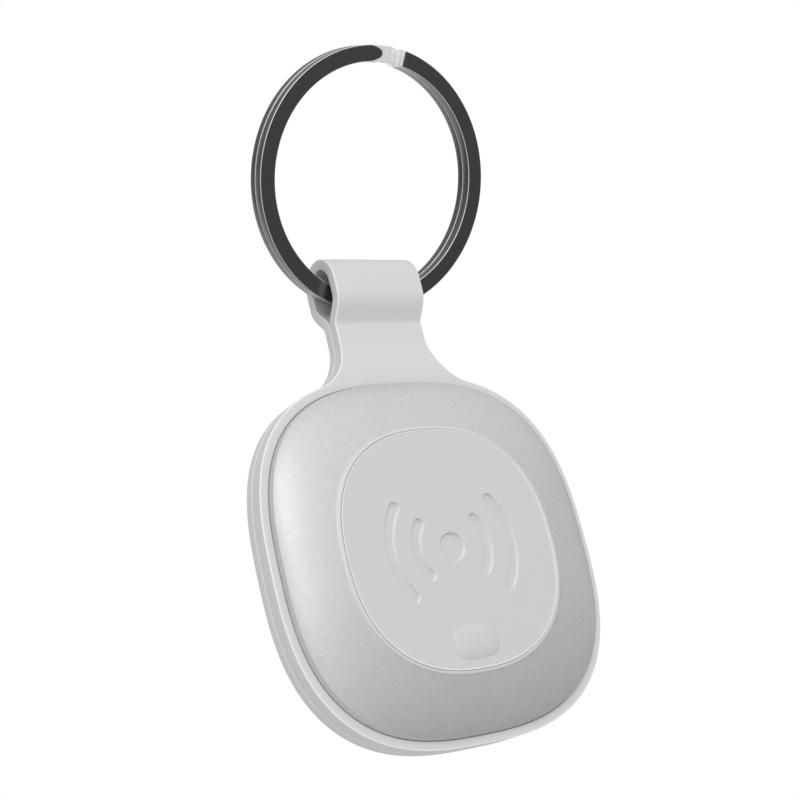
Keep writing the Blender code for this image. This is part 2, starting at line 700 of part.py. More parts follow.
def make_coin_cell(parent):
    back = CELL_FRONT + CELL_HEIGHT
    bend = CELL_EDGE
    crimp = CELL_RADIUS - bend
    inside = CELL_RADIUS - CAN_WALL
    c = GROMMET_CLEARANCE
    can_rows = ((CELL_RADIUS - bend, back), (CELL_RADIUS, back - bend), (CELL_RADIUS, CELL_FRONT + bend),
                (crimp, CELL_FRONT + bend / 4), (crimp - CAN_WALL, CELL_FRONT + bend / 2),
                (inside, CELL_FRONT + 2 * bend), (inside, back - CAN_WALL))
    can = loft("cell_can", [ring_of(circle(r), y) for r, y in can_rows], False)
    new_piece("cell_can", can, "cell_steel", parent)
    grommet = washer("cell_grommet", CAP_RADIUS + c, inside - c, CELL_FRONT + 2 * bend, back - CAN_WALL - c)
    new_piece("cell_grommet", grommet, "holder_plastic", parent)
    cap_rows = ((CAP_RADIUS - bend, CELL_FRONT), (CAP_RADIUS, CELL_FRONT + bend),
                (CAP_RADIUS, back - CAN_WALL - c))
    cap = loft("cell_cap", [ring_of(circle(r), y) for r, y in cap_rows], False)
    new_piece("cell_cap", cap, "cell_steel", parent)


def make_contacts(parent):
    foot = BOARD_BACK + PART_GAP + SPRING_THICKNESS / 2
    side = CELL_RADIUS + PLUS_CLEARANCE + SPRING_THICKNESS / 2
    run = ((side + PLUS_FOOT, foot), (side, foot), (side, SKIRT_FOOT + PLUS_REACH))
    plus = bent_strip("contact_positive", run, "contact_steel", parent, (0, 0, 0), PLUS_WIDTH)
    plus.rotation_euler = (0, -pi / 2, 0)
    touch = CELL_FRONT - PART_GAP - SPRING_THICKNESS / 2
    half = [(MINUS_FOOT, foot), (MINUS_BEND, touch), (MINUS_END, touch)]
    run = [(-x, y) for x, y in reversed(half)] + half
    bent_strip("contact_negative", run, "contact_steel", parent, (0, 0, 0), MINUS_WIDTH)


# Holder, screws, back shell and door

def screw_seat():
    return EAR_BACK + PART_GAP


def screw_tip():
    return screw_seat() - SHANK_LENGTH


def ear_outlines():
    """Tongue with a round end and a screw hole, the hole's centre at the origin and the root at -X."""
    root = HOLDER_OUTER_RADIUS - EAR_ROOT_OVERLAP - SCREW_CIRCLE
    end = [(EAR_RADIUS * cos(a), EAR_RADIUS * sin(a)) for a in np.linspace(-pi / 2, pi / 2, 13)]
    tongue = [(root, -EAR_RADIUS)] + end + [(root, EAR_RADIUS)]
    return [tongue, circle(SHANK_RADIUS + 2 * THREAD_CLEARANCE, 16)]


def make_holder(parent):
    mesh = washer("cell_holder", HOLDER_INNER_RADIUS, HOLDER_OUTER_RADIUS, HOLDER_FRONT, HOLDER_BACK)
    holder = new_piece("cell_holder", mesh, "holder_plastic", parent)
    for i, angle in enumerate(SCREW_ANGLES):
        ear = plate(f"ear_{i}", ear_outlines(), HOLDER_FRONT + EAR_STEP, EAR_BACK)
        join(holder, ear, at_angle(SCREW_CIRCLE, angle), angle)


def make_screws(parent):
    seat, tip = screw_seat(), screw_tip()
    rows = ((SHANK_RADIUS * 0.4, tip), (SHANK_RADIUS, tip + SHANK_RADIUS), (SHANK_RADIUS, seat),
            (HEAD_RADIUS, seat), (HEAD_RADIUS, seat + HEAD_HEIGHT * 0.6),
            (HEAD_RADIUS * 0.7, seat + HEAD_HEIGHT))
    drive_foot, drive_top = seat + HEAD_HEIGHT / 2, seat + 2 * HEAD_HEIGHT
    for i, angle in enumerate(SCREW_ANGLES):
        name, place = f"screw_{i + 1}", at_angle(SCREW_CIRCLE, angle)
        mesh = loft(name, [ring_of(circle(r, 24), y) for r, y in rows], False)
        screw = new_piece(name, mesh, "contact_steel", parent, place)
        for turn in (0, pi / 2):
            slot = box(f"{name}_drive", DRIVE_LENGTH, DRIVE_WIDTH, drive_foot, drive_top)
            cut(screw, slot, place, turn)


def sector(name, inner, outer, front, back, middle, span, steps=6):
    """A block of a ring about Y, spanning an angle."""
    sections = []
    for i in range(steps + 1):
        angle = middle - span / 2 + span * i / steps
        corners = ((inner, front), (outer, front), (outer, back), (inner, back))
        sections.append([(r * cos(angle), y, r * sin(angle)) for r, y in corners])
    return loft(name, sections, False)


def make_back_shell(parent):
    opening = DOOR_RADIUS + DOOR_CLEARANCE
    shelf = SKIRT_OUTER_RADIUS + 2 * DOOR_CLEARANCE
    flat_half = opening + DOOR_FRAME_WIDTH
    rows = [(opening, 2.0, BACK_PLANE)] + dome(flat_half, PANEL_EXPONENT, BACK_PLANE) + joint_rows() + [
        (opening + SHELL_WALL, 2.2, DOOR_SHELF_FOOT),
        (shelf, 2.0, DOOR_SHELF_FOOT), (shelf, 2.0, DOOR_SHELF), (opening, 2.0, DOOR_SHELF)]
    sections = []
    for half, exponent, depth in rows:
        aspect = 1.0 if half <= opening + SHELL_WALL else BODY_ASPECT
        sections.append(ring_of(superellipse(half, exponent, aspect), depth))
    shell = new_piece("back_shell", loft("back_shell", sections, True), "back_plastic", parent)
    for i, angle in enumerate(LUG_ANGLES):
        reach = SKIRT_OUTER_RADIUS + LUG_REACH + DOOR_CLEARANCE
        slot = sector(f"lug_slot_{i}", shelf - BEYOND / 2, reach, DOOR_SHELF_FOOT - BEYOND / 2,
                      DOOR_SHELF + BEYOND / 2, angle - DOOR_TWIST, LUG_SPAN * 1.2)
        cut(shell, slot)


def make_battery_door(parent):
    under = BACK_PLANE - DOOR_THICKNESS
    inner = SKIRT_OUTER_RADIUS - SKIRT_WALL
    rows = ((inner, SKIRT_FOOT), (SKIRT_OUTER_RADIUS, SKIRT_FOOT), (SKIRT_OUTER_RADIUS, under),
            (DOOR_RADIUS, under), (DOOR_RADIUS, BACK_PLANE - EDGE_CHAMFER),
            (DOOR_RADIUS - EDGE_CHAMFER, BACK_PLANE))
    sections = [ring_of(circle(inner), under)] + [ring_of(circle(r), y) for r, y in rows]
    door = new_piece("battery_door", loft("battery_door", sections, False), "back_plastic", parent)
    for i, angle in enumerate(LUG_ANGLES):
        lug = sector(f"lug_{i}", SKIRT_OUTER_RADIUS - SKIRT_WALL / 2, SKIRT_OUTER_RADIUS + LUG_REACH,
                     SKIRT_FOOT, SKIRT_FOOT + LUG_THICKNESS, angle, LUG_SPAN)
        join(door, lug)
    slot_floor = BACK_PLANE - COIN_SLOT_DEPTH
    cut(door, box("coin_slot", COIN_SLOT_LENGTH, COIN_SLOT_WIDTH, slot_floor, BACK_PLANE + BEYOND))
    seal_inner = SKIRT_OUTER_RADIUS + 2 * DOOR_CLEARANCE
    seal = washer("door_seal", seal_inner, seal_inner + SEAL_WIDTH, DOOR_SHELF + STACK_GAP, under - STACK_GAP)
    new_piece("door_seal", seal, "seal_rubber", parent)


def build():
    lean = (RING_LEAN, 0, 0)
    ring_drop = RING_OUTER_RADIUS - WIRE_WIDTH
    ring_centre = Vector((0, ring_drop * sin(RING_LEAN), -ring_drop * cos(RING_LEAN)))
    middle = RING_OUTER_RADIUS - WIRE_WIDTH / 2
    to_pivot = (middle + sqrt(middle**2 - NECK_HALF_WIDTH**2)) / 2
    pivot = ring_centre + to_pivot * Vector((0, sin(RING_LEAN), -cos(RING_LEAN)))
    ring_frame = new_empty("ring_frame", ring_centre, lean)
    tag = new_empty("tag_centre", pivot - Vector((0, 0, RING_SEAT_HEIGHT)))
    button = new_empty("button_axis", (0, 0, -BUTTON_DROP), parent=tag)
    door = new_empty("door_axis", parent=tag)
    make_key_ring(ring_frame)
    make_strap(tag)
    make_front_shell(tag)
    make_front_panel(tag)
    make_button(button)
    make_switch(tag)
    make_board(tag)
    make_board_parts(tag)
    make_buzzer(tag)
    make_coin_cell(tag)
    make_contacts(tag)
    make_holder(tag)
    make_screws(tag)
    make_back_shell(tag)
    make_battery_door(door)


clear_scene()
parts = new_collection("tracker_tag")
cutters = new_collection("cutters")
build()
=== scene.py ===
import json
from math import cos, hypot, pi, radians, sin

import bmesh
import bpy
import numpy as np
from mathutils import Matrix, Vector


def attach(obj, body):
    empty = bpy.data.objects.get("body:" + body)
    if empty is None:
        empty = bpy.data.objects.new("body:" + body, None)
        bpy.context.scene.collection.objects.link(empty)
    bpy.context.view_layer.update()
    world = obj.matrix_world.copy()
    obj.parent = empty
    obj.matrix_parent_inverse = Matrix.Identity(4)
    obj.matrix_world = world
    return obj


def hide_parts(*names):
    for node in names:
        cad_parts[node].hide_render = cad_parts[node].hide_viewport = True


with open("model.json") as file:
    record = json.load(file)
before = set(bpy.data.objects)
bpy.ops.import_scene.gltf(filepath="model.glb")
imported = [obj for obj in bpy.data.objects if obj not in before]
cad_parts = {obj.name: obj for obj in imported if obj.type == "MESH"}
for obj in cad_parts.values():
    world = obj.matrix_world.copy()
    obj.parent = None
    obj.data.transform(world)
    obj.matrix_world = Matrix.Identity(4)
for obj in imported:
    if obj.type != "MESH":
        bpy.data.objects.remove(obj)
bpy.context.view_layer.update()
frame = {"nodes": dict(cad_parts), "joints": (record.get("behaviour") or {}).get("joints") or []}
scene = bpy.context.scene
scene.view_settings.view_transform = "Standard"
mm = 0.001

jointAt = {joint["name"]: Vector(joint["pos_m"]) for joint in frame["joints"] if "pos_m" in joint}
tagCentre = jointAt["battery_door_twist"]  # the middle of the tag, on the fold plane

# Shapes are made in millimetres about their own centre: x across, y backwards, z up.
body = {"half": 19.5, "aspect": 0.993, "exponent": 2.75}
panel = {"half": 12.5, "exponent": 2.38, "plane": 4.3, "thickness": 0.75, "gap": 0.03, "bead": 0.06,
         "beadRound": 0.08, "beadFall": 0.14, "flatStart": 0.28}
print("frame loaded")


# Camera

view = {"place": (-0.09463, -0.12044, -0.07865), "right": (0.82368, -0.51784, -0.23109),
        "up": (0.04227, -0.35032, 0.93568), "lens": 72.37}


def placeCamera():
    right, up = Vector(view["right"]), Vector(view["up"])
    back = right.cross(up)
    camera = bpy.data.objects.new("camera", bpy.data.cameras.new("camera"))
    scene.collection.objects.link(camera)
    turned = Matrix((right, up, back)).transposed().to_4x4()
    camera.matrix_world = Matrix.Translation(view["place"]) @ turned
    camera.data.lens = view["lens"]
    camera.data.clip_start = 0.005
    scene.camera = camera


placeCamera()


# Outlines and meshes

def evenly(points, count):
    loop = np.vstack([points, points[:1]])
    run = np.concatenate([[0], np.cumsum(np.linalg.norm(np.diff(loop, axis=0), axis=1))])
    at = np.linspace(0, run[-1], count, endpoint=False)
    return np.column_stack([np.interp(at, run, loop[:, k]) for k in (0, 1)])


def superellipse(half, exponent, aspect=body["aspect"], count=240):
    turn = np.linspace(0, 2 * pi, 2880, endpoint=False)
    c, s = np.cos(turn), np.sin(turn)
    x = half * np.abs(c) ** (2 / exponent) * np.sign(c)
    z = half * aspect * np.abs(s) ** (2 / exponent) * np.sign(s)
    return evenly(np.column_stack([x, z]), count)


def moved(outline, distance):
    # outline runs counter-clockwise; a positive distance moves it outwards
    along = np.roll(outline, -1, axis=0) - np.roll(outline, 1, axis=0)
    along /= np.linalg.norm(along, axis=1)[:, None]
    return outline + distance * np.column_stack([along[:, 1], -along[:, 0]])


def bridge(bm, loops, closed=False):
    pairs = list(zip(loops, loops[1:]))
    if closed:
        pairs.append((loops[-1], loops[0]))
    for low, high in pairs:
        for i in range(len(low)):
            j = (i + 1) % len(low)
            bm.faces.new((low[i], low[j], high[j], high[i]))


def walls(bm, outline, profile):
    # profile: (distance outwards, depth); returns the first and last loops
    loops = []
    for outwards, depth in profile:
        loops.append([bm.verts.new((x, z, depth)) for x, z in moved(outline, outwards)])
    bridge(bm, loops)
    return loops[0], loops[-1]


def fill(bm, loops):
    edges = [bm.edges.get((loop[i - 1], loop[i])) for loop in loops for i in range(len(loop))]
    bmesh.ops.triangle_fill(bm, use_beauty=True, edges=edges)


def meshFrom(name, bm, place=Matrix.Identity(4), sharp=50):
    bmesh.ops.recalc_face_normals(bm, faces=bm.faces)
    if bm.calc_volume(signed=True) < 0:
        bmesh.ops.reverse_faces(bm, faces=bm.faces)
    mesh = bpy.data.meshes.new(name)
    bm.to_mesh(mesh)
    bm.free()
    mesh.transform(place @ Matrix.Scale(mm, 4))
    mesh.shade_smooth()
    mesh.set_sharp_from_angle(angle=radians(sharp))
    return mesh


def addPiece(name, mesh, bodyName, nodes, finish):
    piece = bpy.data.objects.new(name, mesh)
    scene.collection.objects.link(piece)
    mesh.materials.append(finish)
    weighted = piece.modifiers.new("Weighted normals", "WEIGHTED_NORMAL")
    weighted.keep_sharp = True
    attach(piece, bodyName)
    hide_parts(*nodes)
    return piece


def inTag(drop=0.0):
    return Matrix.Translation(tagCentre - Vector((0, 0, drop * mm)))


def frontwards(bm):
    # flat shapes are drawn in XY with their depth in Z; the front faces -Y
    for vert in bm.verts:
        x, z, depth = vert.co
        vert.co = (x, -depth, z)


def rounding(radius, steps, outerAt, depthAt, towards=1):
    # quarter round from the wall (outerAt) on to the face at depthAt, as profile rows
    rows = []
    for i in range(steps + 1):
        turn = pi / 2 * i / steps
        rows.append((outerAt - radius * (1 - cos(turn)) * towards, depthAt - radius * (1 - sin(turn))))
    return rows


# Materials

def newGroup(name, inputs, outputs):
    group = bpy.data.node_groups.new(name, "ShaderNodeTree")
    for label, kind, default in inputs:
        socket = group.interface.new_socket(name=label, in_out="INPUT", socket_type=kind)
        if default is not None:
            socket.default_value = default
    for label, kind in outputs:
        group.interface.new_socket(name=label, in_out="OUTPUT", socket_type=kind)
    return group, group.nodes.new("NodeGroupInput"), group.nodes.new("NodeGroupOutput")


def makeTone():
    # soft unevenness of a colour: Colour, Spread, Scale in, Colour out
    group, given, result = newGroup(
        "tone", [("Colour", "NodeSocketColor", (0.5, 0.5, 0.5, 1)), ("Spread", "NodeSocketFloat", 0.03),
                 ("Scale", "NodeSocketFloat", 120.0)], [("Colour", "NodeSocketColor")])
    nodes, link = group.nodes, group.links.new
    where = nodes.new("ShaderNodeTexCoord")
    noise = nodes.new("ShaderNodeTexNoise")
    noise.inputs["Detail"].default_value = 4
    around = nodes.new("ShaderNodeMath")
    around.operation = "SUBTRACT"
    around.inputs[1].default_value = 0.5
    gain = nodes.new("ShaderNodeMath")
    gain.operation = "MULTIPLY_ADD"
    gain.inputs[2].default_value = 1.0
    scaled = nodes.new("ShaderNodeVectorMath")
    scaled.operation = "SCALE"
    link(where.outputs["Object"], noise.inputs["Vector"])
    link(given.outputs["Scale"], noise.inputs["Scale"])
    link(noise.outputs["Fac"], around.inputs[0])
    link(around.outputs[0], gain.inputs[0])
    link(given.outputs["Spread"], gain.inputs[1])
    link(given.outputs["Colour"], scaled.inputs[0])
    link(gain.outputs[0], scaled.inputs["Scale"])
    link(scaled.outputs[0], result.inputs["Colour"])
    return group


def makeWear():
    # roughness with handling marks: Roughness, Spread, Scale in, Roughness out
    group, given, result = newGroup(
        "wear", [("Roughness", "NodeSocketFloat", 0.5), ("Spread", "NodeSocketFloat", 0.1),
                 ("Scale", "NodeSocketFloat", 160.0)], [("Roughness", "NodeSocketFloat")])
    nodes, link = group.nodes, group.links.new
    where = nodes.new("ShaderNodeTexCoord")
    noise = nodes.new("ShaderNodeTexNoise")
    noise.inputs["Detail"].default_value = 6
    noise.inputs["Distortion"].default_value = 0.6
    around = nodes.new("ShaderNodeMath")
    around.operation = "SUBTRACT"
    around.inputs[1].default_value = 0.5
    total = nodes.new("ShaderNodeMath")
    total.operation = "MULTIPLY_ADD"
    total.use_clamp = True
    link(where.outputs["Object"], noise.inputs["Vector"])
    link(given.outputs["Scale"], noise.inputs["Scale"])
    link(noise.outputs["Fac"], around.inputs[0])
    link(around.outputs[0], total.inputs[0])
    link(given.outputs["Spread"], total.inputs[1])
    link(given.outputs["Roughness"], total.inputs[2])
    link(total.outputs[0], result.inputs["Roughness"])
    return group


def makeGrain():
    # height of a fine moulded or blasted texture: Scale in, Height out
    group, given, result = newGroup(
        "grain", [("Scale", "NodeSocketFloat", 4000.0)], [("Height", "NodeSocketFloat")])
    nodes, link = group.nodes, group.links.new
    where = nodes.new("ShaderNodeTexCoord")
    noise = nodes.new("ShaderNodeTexNoise")
    noise.inputs["Detail"].default_value = 2
    link(where.outputs["Object"], noise.inputs["Vector"])
    link(given.outputs["Scale"], noise.inputs["Scale"])
    link(noise.outputs["Fac"], result.inputs["Height"])
    return group


def makeFlakes():
    # metal flakes in a coat: Scale in; Brightness (0 dark to 1 flake) and Height out
    group, given, result = newGroup(
        "flakes", [("Scale", "NodeSocketFloat", 5000.0)],
        [("Brightness", "NodeSocketFloat"), ("Height", "NodeSocketFloat")])
    nodes, link = group.nodes, group.links.new
    where = nodes.new("ShaderNodeTexCoord")
    cells = nodes.new("ShaderNodeTexVoronoi")
    cells.feature = "F1"
    split = nodes.new("ShaderNodeSeparateColor")
    link(where.outputs["Object"], cells.inputs["Vector"])
    link(given.outputs["Scale"], cells.inputs["Scale"])
    link(cells.outputs["Color"], split.inputs[0])
    link(split.outputs[0], result.inputs["Brightness"])
    link(split.outputs[1], result.inputs["Height"])
    return group


tone, wear, grain, flakes = makeTone(), makeWear(), makeGrain(), makeFlakes()


def addGroup(nodes, group, **values):
    node = nodes.new("ShaderNodeGroup")
    node.node_tree = group
    for label, value in values.items():
        node.inputs[label].default_value = value
    return node


def finishOf(name, colour, roughness, metallic=0.0, spread=0.03, toneScale=120.0, wearSpread=0.08,
             wearScale=160.0, grainScale=4000.0, grainDepth=0.00001, grainStrength=0.1, coat=0.0):
    material = bpy.data.materials.new(name)
    material.use_nodes = True
    nodes, link = material.node_tree.nodes, material.node_tree.links.new
    shader = nodes["Principled BSDF"]
    shader.inputs["Metallic"].default_value = metallic
    shader.inputs["Coat Weight"].default_value = coat
    shader.inputs["Coat Roughness"].default_value = 0.25
    colours = addGroup(nodes, tone, Colour=(*colour, 1), Spread=spread, Scale=toneScale)
    marks = addGroup(nodes, wear, Roughness=roughness, Spread=wearSpread, Scale=wearScale)
    texture = addGroup(nodes, grain, Scale=grainScale)
    bump = nodes.new("ShaderNodeBump")
    bump.inputs["Strength"].default_value = grainStrength
    bump.inputs["Distance"].default_value = grainDepth
    link(colours.outputs["Colour"], shader.inputs["Base Color"])
    link(marks.outputs["Roughness"], shader.inputs["Roughness"])
    link(texture.outputs["Height"], bump.inputs["Height"])
    link(bump.outputs["Normal"], shader.inputs["Normal"])
    return material


def grey(value):
    return (value, value, value)


def pearlFinish():
    material = finishOf("metal_coat", grey(0.66), 0.42, metallic=0.5, spread=0.0, wearSpread=0.0)
    nodes, link = material.node_tree.nodes, material.node_tree.links.new
    shader = nodes["Principled BSDF"]
    flake = addGroup(nodes, flakes, Scale=8500.0)
    bump = nodes.new("ShaderNodeBump")
    bump.inputs["Strength"].default_value = 0.22
    bump.inputs["Distance"].default_value = 0.00004
    low = nodes.new("ShaderNodeMapRange")
    low.inputs["To Min"].default_value = 0.94
    low.inputs["To Max"].default_value = 1.05
    colours = [node for node in nodes if node.type == "GROUP" and node.node_tree == tone][0]
    sparkle = nodes.new("ShaderNodeVectorMath")
    sparkle.operation = "SCALE"
    link(flake.outputs["Brightness"], low.inputs["Value"])
    link(colours.outputs["Colour"], sparkle.inputs[0])
    link(low.outputs["Result"], sparkle.inputs["Scale"])
    link(sparkle.outputs[0], shader.inputs["Base Color"])
    link(flake.outputs["Height"], bump.inputs["Height"])
    link(bump.outputs["Normal"], shader.inputs["Normal"])
    return material


def withPaintedHighlight(material, highlightGrey, smooth, metallic):
    # colour, roughness and metallic turn to these values where the highlight attribute is 1; the brighter
    # colour there is a painted highlight
    nodes, link = material.node_tree.nodes, material.node_tree.links.new
    shader = nodes["Principled BSDF"]
    highlightMask = nodes.new("ShaderNodeAttribute")
    highlightMask.attribute_name = "paintedHighlight"
    changes = {"Base Color": ("RGBA", (*grey(highlightGrey), 1)), "Roughness": ("FLOAT", smooth),
               "Metallic": ("FLOAT", metallic)}
    for name, (kind, value) in changes.items():
        pick = nodes.new("ShaderNodeMix")
        pick.data_type = kind
        first, second = [socket for socket in pick.inputs if socket.enabled and socket.name in ("A", "B")]
        second.default_value = value
        first.default_value = shader.inputs[name].default_value
        for old in list(shader.inputs[name].links):
            link(old.from_socket, first)
        link(highlightMask.outputs["Fac"], pick.inputs["Factor"])
        link([out for out in pick.outputs if out.enabled][0], shader.inputs[name])
    return material


# silicone: painted highlight on the strap's outer edges and seam
silicone = withPaintedHighlight(
    finishOf("silicone", grey(0.72), 0.5, spread=0.02, toneScale=60, grainScale=6000),
    highlightGrey=0.9, smooth=0.3, metallic=0.0)
# pearl coat: painted highlight, a lighter band, on the shell's lip by the panel
pearl = withPaintedHighlight(pearlFinish(), highlightGrey=0.74, smooth=0.4, metallic=0.3)
# panel plastic: painted highlight on the panel's bead and on the mark's walls that face up and left
panelPlastic = withPaintedHighlight(
    finishOf("panel_plastic", grey(0.66), 0.45, spread=0.012, toneScale=90, grainScale=7000),
    highlightGrey=0.88, smooth=0.35, metallic=0.0)
backPlastic = finishOf("back_plastic", grey(0.64), 0.55, spread=0.02, grainScale=5000, grainStrength=0.2)
# dark grey metal, with painted highlights (reflections) on the wire's rounded edges, its cut end, its ramp
# and its free end by the jog
ringSteel = withPaintedHighlight(
    finishOf("ring_steel", grey(0.165), 0.22, metallic=1.0, spread=0.08, toneScale=400,
             wearSpread=0.1, wearScale=700, grainScale=1800, grainStrength=0.02),
    highlightGrey=1.0, smooth=0.35, metallic=0.4)
inner = {
    "foam_tape": finishOf("foam_tape", grey(0.1), 0.9, spread=0.3, toneScale=3000, grainStrength=0.6),
    "contact_steel": finishOf("contact_steel", (0.75, 0.74, 0.70), 0.28, metallic=1.0, wearScale=900),
    "board": finishOf("board", (0.02, 0.16, 0.08), 0.38, spread=0.5, toneScale=900, coat=0.4),
    "chip": finishOf("chip", grey(0.025), 0.5, spread=0.2, toneScale=2500, grainStrength=0.4),
    "cell_steel": finishOf("cell_steel", (0.70, 0.70, 0.68), 0.24, metallic=1.0, wearScale=1200),
    "ceramic": finishOf("ceramic", (0.80, 0.78, 0.72), 0.45, spread=0.06, toneScale=1500),
    "brass": finishOf("brass", (0.72, 0.52, 0.22), 0.3, metallic=1.0, spread=0.1, wearScale=800),
    "holder_plastic": finishOf("holder_plastic", grey(0.08), 0.6, grainStrength=0.3),
    "seal_rubber": finishOf("seal_rubber", grey(0.03), 0.8, spread=0.2, grainStrength=0.4),
}
print("materials made")


# Strap

strap = {"wall": 0.9, "depth": 1.67, "backDepth": 1.25, "gap": 0.1, "neckHalf": 5.45,
         "neckThickness": 1.15, "fillet": 5.5, "tunnelRadius": 1.8, "tunnelHeight": 30.15,
         "straightEnd": 28.6, "closedHeight": 25.6, "rampTop": 23.5, "rampFoot": 19.8,
         "grooveDepth": 0.44, "grooveHeight": 0.7, "outerRound": 0.15, "seamRound": 0.13,
         "innerRound": 0.08, "mouthRound": 0.8, "mouthEnd": 8.5, "mouthFade": 2.3,
         "nominal": 3.0, "cuts": 300, "smoothing": 1.3}


def foldRows():
    half, radius = strap["gap"] / 2, strap["tunnelRadius"]
    rows = []
    for turn in np.linspace(0, pi / 2, 41):
        rows.append((-radius * sin(turn), strap["tunnelHeight"] + radius * cos(turn)))
    for share in np.linspace(0, 1, 61):
        z = strap["straightEnd"] + (strap["closedHeight"] - strap["straightEnd"]) * share
        rows.append((-half - (radius - half) * (1 + cos(pi * share)) / 2, z))
    rows.append((-half, -1.2 * body["half"]))
    return np.array(rows)


foldPath = foldRows()
foldRun = np.concatenate([[0], np.cumsum(np.linalg.norm(np.diff(foldPath, axis=0), axis=1))])
centreRun = foldRun[-1] + foldPath[-1, 1]


def strapThickness(height, side):
    share = min(max((strap["rampTop"] - height) / (strap["rampTop"] - strap["rampFoot"]), 0), 1)
    smooth = share * share * (3 - 2 * share)
    full = (strap["depth"] if side > 0 else strap["backDepth"]) - strap["gap"] / 2
    return strap["neckThickness"] + (full - strap["neckThickness"]) * smooth


def folded(x, along, level):
    # along: distance from the loop's top, positive to the front; level: 0 inside to nominal outside
    side = 1 if along >= 0 else -1
    s, reach = abs(along), 0.05 if level < strap["nominal"] / 2 else strap["smoothing"]
    y, z = (np.interp(s, foldRun, foldPath[:, k]) for k in (0, 1))
    reach = min(reach, max(s, 0.01))
    (y0, y1), (z0, z1) = (np.interp((s - reach, s + reach), foldRun, foldPath[:, k]) for k in (0, 1))
    size = hypot(y1 - y0, z1 - z0)
    outward = ((z1 - z0) / size, -(y1 - y0) / size) if s > 0.02 else (0.0, 1.0)
    depth = level if level < strap["nominal"] / 2 else strapThickness(z, side) - (strap["nominal"] - level)
    return Vector((x, side * (y + outward[0] * depth), z + outward[1] * depth))


def neckOutline():
    # right half of the tag's outline, from the bottom round and up to the neck, with its fillet
    half, aspect, n = body["half"], body["aspect"], body["exponent"]

    def edge(turn):
        x = half * cos(turn) ** (2 / n)
        z = half * aspect * sin(turn) ** (2 / n)
        nx, nz = (x / half) ** (n - 1) / half, (z / (half * aspect)) ** (n - 1) / (half * aspect)
        return x, z, nx / hypot(nx, nz), nz / hypot(nx, nz)

    low, high = 0.1, pi / 2 - 1e-4
    for _ in range(50):
        middle = (low + high) / 2
        x, z, nx, nz = edge(middle)
        if x + strap["fillet"] * nx > strap["neckHalf"] + strap["fillet"]:
            low = middle
        else:
            high = middle
    x, z, nx, nz = edge(low)
    centre = (x + strap["fillet"] * nx, z + strap["fillet"] * nz)
    ring = superellipse(half, n, count=360)
    points = [p for p in ring if p[0] > 1e-3 and (p[1] < 0 or p[0] > x + 0.1)]
    points.sort(key=lambda p: np.arctan2(p[1], p[0]))
    start = np.arctan2(-nz, -nx)
    for turn in np.linspace(start, -pi, 30):
        points.append((centre[0] + strap["fillet"] * cos(turn), centre[1] + strap["fillet"] * sin(turn)))
    return [(0.0, -half * aspect)] + [tuple(p) for p in points]


def makeStrap():
    half = [(x, centreRun - z) for x, z in neckOutline()]
    right = half + [(x, -along) for x, along in reversed(half)]
    left = [(-x, along) for x, along in reversed(right) if x > 1e-6]
    outline = np.array(right + left)
    if np.sum(outline[:, 0] * np.roll(outline[:, 1], -1) - np.roll(outline[:, 0], -1) * outline[:, 1]) < 0:
        outline = outline[::-1]
    top = strap["nominal"]
    seamTurns = np.linspace(0, pi / 2, 6)
    seam = [(0.0, 0.0)] * len(seamTurns)
    outer = seam + rounding(strap["outerRound"], 7, 0, top)
    groove = strap["grooveDepth"]
    hole = [(groove, 0.0), (groove, strap["grooveHeight"]), (0, strap["grooveHeight"])]
    hole += rounding(strap["innerRound"], 4, 0, top, -1)
    bm = bmesh.new()
    highlightLayer = bm.verts.layers.float.new("paintedHighlight")
    low, high = walls(bm, outline, outer)
    lows, highs = [low], [high]
    bm.verts.ensure_lookup_table()
    outwards = moved(outline, 1.0) - outline
    for i, vert in enumerate(bm.verts):  # painted highlight, and smoother, along the outer edge and the seam
        row, k = divmod(i, len(outline))
        if len(seam) + 1 < row < len(outer) - 1:
            vert[highlightLayer] = 1.0
        elif 0 < row < len(seam) - 1:
            vert[highlightLayer] = 0.6
        if row < len(seam):  # the tunnel's mouths flare for the curved wire
            turn = seamTurns[row]
            spread = min(max((strap["mouthEnd"] - abs(outline[k][1])) / strap["mouthFade"], 0), 1)
            r = strap["seamRound"] + (strap["mouthRound"] - strap["seamRound"]) * spread
            x, along = outline[k] - outwards[k] * r * (1 - sin(turn))
            vert.co = (x, along, r * (1 - cos(turn)))
    inside = superellipse(body["half"] - strap["wall"], body["exponent"], count=300)
    for side in (1, -1):
        ring = np.column_stack([inside[:, 0], side * (centreRun - inside[:, 1])])
        ring = ring[::-1] if side > 0 else ring
        low, high = walls(bm, ring, hole)
        lows.append(low)
        highs.append(high)
    fill(bm, lows)
    fill(bm, highs)
    reach = centreRun - strap["rampFoot"] + 1
    for i in range(1, strap["cuts"]):
        at = -reach + 2 * reach * i / strap["cuts"]
        bmesh.ops.bisect_plane(bm, geom=bm.verts[:] + bm.edges[:] + bm.faces[:], dist=1e-4,
                               plane_co=(0, at, 0), plane_no=(0, 1, 0))
    for vert in bm.verts:
        vert.co = folded(*vert.co)
    addPiece("strapSkin", meshFrom("strapSkin", bm, inTag()), "tag", ["strap"], silicone)


makeStrap()
print("strap made")


# Puck

shell = {"half": 18.42, "lean": 0.16, "seat": 1.5, "wallTop": 2.3, "wall": 0.9, "flange": 18.95,
         "flangeDepth": 0.5, "lipRound": 0.06, "lipFlat": 0.24, "startTurn": 36, "endTurn": 74,
         "ledge": 0.6, "ledgeThickness": 0.7, "tapeThickness": 0.2}


